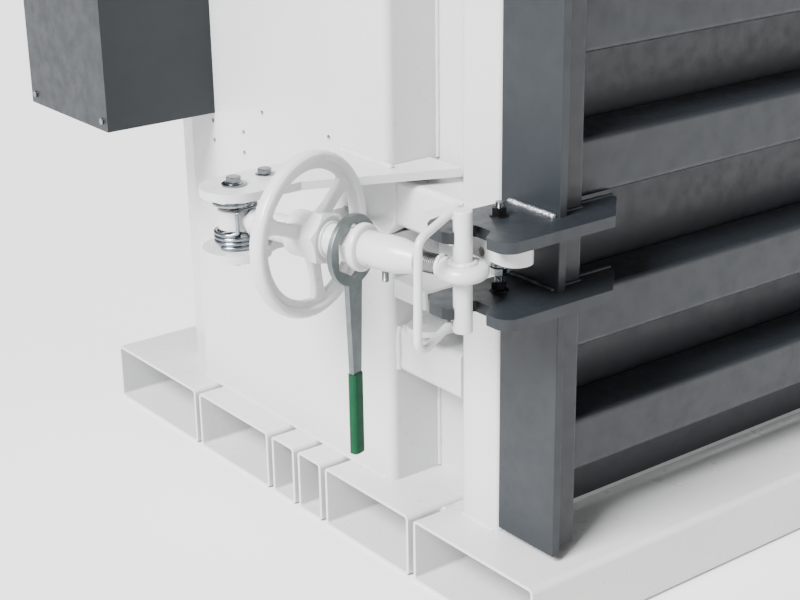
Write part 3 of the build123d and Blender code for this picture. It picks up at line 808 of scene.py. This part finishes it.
def pocket():
    """Pressed pocket: the wall swings out of the beam's face and rounds into the panel."""
    panel_low = low_high("side_panel_left")[0]
    beam_low, beam_high = low_high("ring_beam_upper_left")
    lug_top = low_high("lug_plate_upper")[1].z
    x_out = panel_low.x
    depth = beam_low.x - x_out - 0.0003
    front = beam_high.y
    long, steep = 0.064, 0.056
    floor_front, floor_rear, rear_top = lug_top - 0.108, lug_top - 0.088, lug_top - 0.047
    top = lug_top - 0.018

    def edge(y):
        if y <= steep:
            return floor_front + (floor_rear - floor_front) * max(y, 0.0) / steep
        return floor_rear + (rear_top - floor_rear) * (y - steep) / (long - steep)

    plan = [(0.074, 0.002), (0.05, 0.002), (0.03, 0.002), (depth + 0.001, 0.0021)]
    for i in range(29):
        y = 0.0025 + (long - 0.0025) * i / 28
        plan.append((depth * 0.5 * (1 + math.cos(math.pi * i / 28)), y))
    rows = []
    for d, y in plan:
        low = min(edge(y), top - 0.001)
        run = max(d, 1e-4)
        foot = Vector((x_out, front + y, low))
        corner = Vector((x_out + run, front + y, min(low + min(run, 0.017) * 0.85, top - 0.0005)))
        head = Vector((x_out + run, front + y, top))
        bend = min(0.008, (corner - foot).length * 0.6, (head - corner).length * 0.6)
        before = corner - (corner - foot).normalized() * bend
        after = corner + (head - corner).normalized() * bend
        row = [foot.lerp(before, k / 5) for k in range(5)]
        for k in range(9):
            t = k / 8
            row.append(before * (1 - t) ** 2 + corner * 2 * t * (1 - t) + after * t ** 2)
        row += [after.lerp(head, k / 8) for k in range(1, 9)]
        rows.append(row)
    count = len(rows[0])
    verts = [v for row in rows for v in row]
    faces = []
    for i in range(len(rows) - 1):
        for j in range(count - 1):
            a = i * count + j
            faces.append((a, a + 1, a + count + 1, a + count))
    skin = piece("pocket_skin", verts, faces, WHITE, "press_body", 60)
    shell = skin.modifiers.new("sheet", "SOLIDIFY")
    shell.thickness = 0.003
    shell.offset = 1.0
    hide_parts("pocket_liner_left")
    seam = [(x_out - 0.0002, front + y, edge(y) + 0.0006) for y in (0.004, 0.02, 0.04, 0.055)]
    bead("pocket_seam", seam, 0.0026, "press_body", seed=44, pitch=0.005)
    side = [(x_out - 0.0002, front + y, edge(y)) for y in (0.0555, 0.0585, 0.062)]
    bead("pocket_seam_rear", side, 0.0022, "press_body", seed=45, pitch=0.005)


pocket()

# ---------------------------------------------------------------- welds on the body and door


def body_welds():
    """Beads where the welded plates and tubes meet."""
    panel_low, panel_high = low_high("side_panel_left")
    upper_low, upper_high = low_high("pivot_bracket_upper")
    lower_low, lower_high = low_high("pivot_bracket_lower")
    x = panel_low.x
    r = 0.0032
    bead("bracket_weld_top", [(x - 0.001, upper_high.y - 0.002, upper_high.z + 0.001),
                              (x - 0.001, upper_low.y + 0.062, upper_high.z + 0.001)],
         0.0052, "press_body", seed=11, pitch=0.007)
    bead("bracket_weld_under", [(x, upper_high.y - 0.004, upper_low.z),
                                (x, upper_low.y + 0.11, upper_low.z)], r, "press_body", seed=12)
    bead("bracket_weld_low_top", [(x, lower_high.y - 0.003, lower_high.z),
                                  (x, lower_high.y - 0.06, lower_high.z)], r, "press_body",
         seed=13)
    bead("bracket_weld_low_under", [(x, lower_high.y - 0.003, lower_low.z),
                                    (x, lower_high.y - 0.06, lower_low.z)], r, "press_body",
         seed=14)
    base_top = low_high("base_tube_1")[1].z
    bead("panel_foot_weld", [(x + 0.0006, panel_high.y - 0.10, base_top),
                             (x + 0.0006, panel_low.y + 0.016, base_top)], 0.0036,
         "press_body", seed=15)
    for name in ("upper", "lower"):
        beam_low, beam_high = low_high(f"ring_beam_{name}_left")
        y = beam_high.y - 0.0005
        if name == "lower":
            bead("beam_end_weld", [(beam_low.x + 0.002, y, beam_high.z - 0.002),
                                   (beam_low.x - 0.001, y, beam_high.z - 0.010),
                                   (beam_low.x - 0.001, y, beam_low.z + 0.004)],
                 0.0048, "press_body", seed=16, pitch=0.006)
        bead(f"beam_{name}_under_weld", [(beam_low.x + 0.01, beam_high.y - 0.001, beam_low.z),
                                         (beam_high.x - 0.01, beam_high.y - 0.001, beam_low.z)],
             r, "press_body", seed=17)
        bead(f"beam_{name}_post_weld", [(beam_low.x + 0.012, beam_low.y + 0.0005, beam_high.z),
                                        (beam_high.x - 0.01, beam_low.y + 0.0005, beam_high.z)],
             r, "press_body", seed=18)
    wall_low = low_high("chamber_wall_left")[0]
    beam_low = low_high("ring_beam_lower_left")[0]
    bead("return_seam_weld", [(wall_low.x - 0.0008, panel_low.y - 0.0008, base_top + 0.003),
                              (wall_low.x - 0.0008, panel_low.y - 0.0008, beam_low.z - 0.003)],
         0.0034, "press_body", seed=19)
    beam_high = low_high("ring_beam_upper_left")[1]
    bead("return_seam_weld_top", [(wall_low.x - 0.0008, panel_low.y - 0.0008, beam_high.z + 0.02),
                                  (wall_low.x - 0.0008, panel_low.y - 0.0008, panel_high.z - 0.01)],
         0.0034, "press_body", seed=20)


def door_welds():
    """Bright bead along the upper lug plate and painted beads below it."""
    side_low = low_high("door_side_left")[0]
    for number, name in enumerate(("upper", "lower")):
        low, high = low_high(f"lug_plate_{name}")
        bright = name == "upper"
        out = 0.0045 if bright else 0.001
        bead(f"lug_weld_{name}", [(side_low.x - out, side_low.y + 0.007, high.z + 0.0008),
                                  (side_low.x - out, side_low.y + 0.092, high.z + 0.0008)],
             0.0046 if bright else 0.0036, "door", WELD if bright else GREY,
             21 + number, 0.0024)
        bead(f"lug_rear_weld_{name}", [(side_low.x + 0.056, side_low.y + 0.0279, high.z + 0.0006),
                                       (side_low.x + 0.117, side_low.y + 0.0279, high.z + 0.0006)],
             0.003, "door", GREY, 60 + number)
        bead(f"lug_weld_under_{name}", [(side_low.x - 0.0006, side_low.y + 0.006, low.z),
                                        (side_low.x - 0.0006, side_low.y + 0.094, low.z)],
             0.0032, "door", GREY, 24 + number)
        bead(f"lug_weld_front_{name}", [(side_low.x + 0.016, side_low.y + 0.0155, high.z),
                                        (side_low.x + 0.052, side_low.y + 0.0155, high.z)],
             0.0028, "door", GREY, 26 + number)
    stile_high = low_high("door_stile_left")[1]
    for number in range(1, 6):
        low, high = low_high(f"door_rib_{number}")
        for side in (-1, 1):
            x = (stile_high.x if side < 0 else -stile_high.x)
            path = [(x, low.y - 0.0002, low.z + 0.006), (x, low.y - 0.0002, high.z - 0.006)]
            bead(f"rib_weld_{number}_{'l' if side < 0 else 'r'}", path, 0.0026, "door", GREY,
                 30 + number)


def frame_welds():
    """Beads on the sides, the back and the hinges."""
    rear_low, rear_high = low_high("rear_wall")
    for side in ("left", "right"):
        sign = -1 if side == "left" else 1
        post_low, post_high = low_high(f"corner_post_{side}")
        wall_low, wall_high = low_high(f"chamber_wall_{side}")
        edge = wall_low.x if side == "left" else wall_high.x
        bead(f"rear_corner_{side}", [(edge, rear_high.y - 0.0006, rear_low.z + 0.004),
                                     (edge, rear_high.y - 0.0006, rear_high.z - 0.004)],
             0.0034, "press_body", seed=70 + sign)
        x_post = post_low.x if side == "left" else post_high.x
        bead(f"post_foot_{side}", [(x_post, post_low.y + 0.008, post_low.z + 0.0006),
                                   (x_post, post_high.y - 0.004, post_low.z + 0.0006)],
             0.0036, "press_body", seed=74 + sign)
        bead(f"post_head_{side}", [(x_post, post_low.y + 0.008, post_high.z - 0.0006),
                                   (x_post, post_high.y - 0.004, post_high.z - 0.0006)],
             0.003, "press_body", seed=78 + sign)
    panel_low, panel_high = low_high("side_panel_right")
    base_top = low_high("base_tube_1")[1].z
    bead("panel_foot_weld_right", [(panel_high.x - 0.0006, panel_high.y - 0.10, base_top),
                                   (panel_high.x - 0.0006, panel_low.y + 0.016, base_top)],
         0.0036, "press_body", seed=80)
    bead("rear_foot_weld", [(rear_low.x + 0.004, rear_high.y - 0.0004, rear_low.z + 0.0004),
                            (rear_high.x - 0.004, rear_high.y - 0.0004, rear_low.z + 0.0004)],
         0.0036, "press_body", seed=81)
    post_low, post_high = low_high("corner_post_right")
    hinge_high = low_high("frame_hinge_knuckles")[1]
    for number, level in enumerate((-0.330, 0.290)):
        z_mid = low_high("lug_plate_upper")[1].z + level
        for step in (-1, 1):
            z = z_mid + step * 0.057
            y = hinge_high.y
            for edge in (-0.028, 0.028):
                path = [(post_high.x + 0.0004, y - 0.012, z + edge),
                        (post_high.x + 0.0004, y, z + edge)]
                bead(f"hinge_weld_{number}_{step}_{'a' if edge < 0 else 'b'}", path, 0.0028,
                     "press_body", seed=90 + number)
        door_high = low_high("door_side_right")[1]
        knuckle_low = low_high("door_hinge_knuckles")[0]
        for edge in (-0.028, 0.028):
            path = [(door_high.x + 0.0004, knuckle_low.y + 0.001, z_mid + edge),
                    (door_high.x + 0.0004, knuckle_low.y + 0.026, z_mid + edge)]
            bead(f"door_hinge_weld_{number}_{'a' if edge < 0 else 'b'}", path, 0.0028, "door",
                 GREY, 94 + number)
    for number in range(1, 6):
        a_low, a_high = low_high(f"base_tube_{number}")
        b_low = low_high(f"base_tube_{number + 1}")[0]
        y = (a_high.y + b_low.y) / 2
        z = a_high.z - 0.0085
        bead(f"base_seam_{number}", [(a_low.x + 0.062, y, z), (a_high.x - 0.062, y, z)], 0.0045,
             "press_body", seed=100 + number, pitch=0.008)
    bracket_low, bracket_high = low_high("keeper_bracket")
    box_y = bracket_low.y
    wall_x = low_high("chamber_wall_left")[0].x
    for number, z in enumerate((bracket_high.z, bracket_low.z + 0.008)):
        path = [(wall_x - 0.0008, box_y + 0.004, z), (wall_x - 0.0008, box_y + 0.06, z)]
        bead(f"keeper_weld_{number}", path, 0.003, "press_body", seed=110 + number)


body_welds()
door_welds()
frame_welds()

# ---------------------------------------------------------------- studio


def studio():
    """Pale floor, soft area lights and the camera."""
    floor_mesh = bpy.data.meshes.new("floor")
    size = 30.0
    corners = [(-size, -size, 0), (size, -size, 0), (size, size, 0), (-size, size, 0)]
    floor_mesh.from_pydata(corners, [], [(0, 1, 2, 3)])
    floor = bpy.data.objects.new("floor", floor_mesh)
    bpy.context.scene.collection.objects.link(floor)
    shader = Shader("pale_floor", (0.78, 0.78, 0.78), 0.75)
    shader.roughness(shader.span(shader.noise(3.0), 0.7, 0.85))
    floor_mesh.materials.append(shader.material)

    world = bpy.data.worlds.new("studio")
    bpy.context.scene.world = world
    world.use_nodes = True
    background = world.node_tree.nodes["Background"]
    background.inputs["Color"].default_value = (1, 1, 1, 1)
    background.inputs["Strength"].default_value = 0.42

    sun_data = bpy.data.lights.new("window", "SUN")
    sun_data.energy = 13.0
    sun_data.angle = math.radians(26)
    sun = bpy.data.objects.new("window", sun_data)
    sun.rotation_mode = "QUATERNION"
    sun.rotation_quaternion = Vector((1.0, 0.16, -0.95)).to_track_quat("-Z", "Y")
    bpy.context.scene.collection.objects.link(sun)

    for name, place, target, size, power in (
        ("key", (-3.4, -1.8, 2.6), (-0.7, -0.4, 0.5), 0.9, 40.0),
        ("front", (1.6, -4.0, 1.4), (-0.2, -0.5, 0.5), 2.2, 45.0),
    ):
        data = bpy.data.lights.new(name, "AREA")
        data.size = size
        data.energy = power
        light = bpy.data.objects.new(name, data)
        light.location = place
        direction = Vector(target) - Vector(place)
        light.rotation_mode = "QUATERNION"
        light.rotation_quaternion = direction.to_track_quat("-Z", "Y")
        bpy.context.scene.collection.objects.link(light)

    camera_data = bpy.data.cameras.new("camera")
    camera = bpy.data.objects.new("camera", camera_data)
    bpy.context.scene.collection.objects.link(camera)
    azimuth, elevation = math.radians(CAMERA_AZIMUTH), math.radians(CAMERA_ELEVATION)
    back = Vector(
        (
            math.sin(azimuth) * math.cos(elevation),
            -math.cos(azimuth) * math.cos(elevation),
            math.sin(elevation),
        )
    )
    side_low = low_high("door_side_left")[0]
    lug_high = low_high("lug_plate_upper")[1]
    corner = Vector((side_low.x, side_low.y, lug_high.z))
    camera.location = corner + CAMERA_FROM_CORNER
    camera.rotation_mode = "QUATERNION"
    camera.rotation_quaternion = (-back).to_track_quat("-Z", "Y")
    camera_data.lens = 77.23
    camera_data.sensor_width = 36.0
    camera_data.shift_x = -0.0793
    camera_data.shift_y = 0.0559
    camera_data.clip_start = 0.05
    camera_data.clip_end = 100.0
    bpy.context.scene.camera = camera


studio()
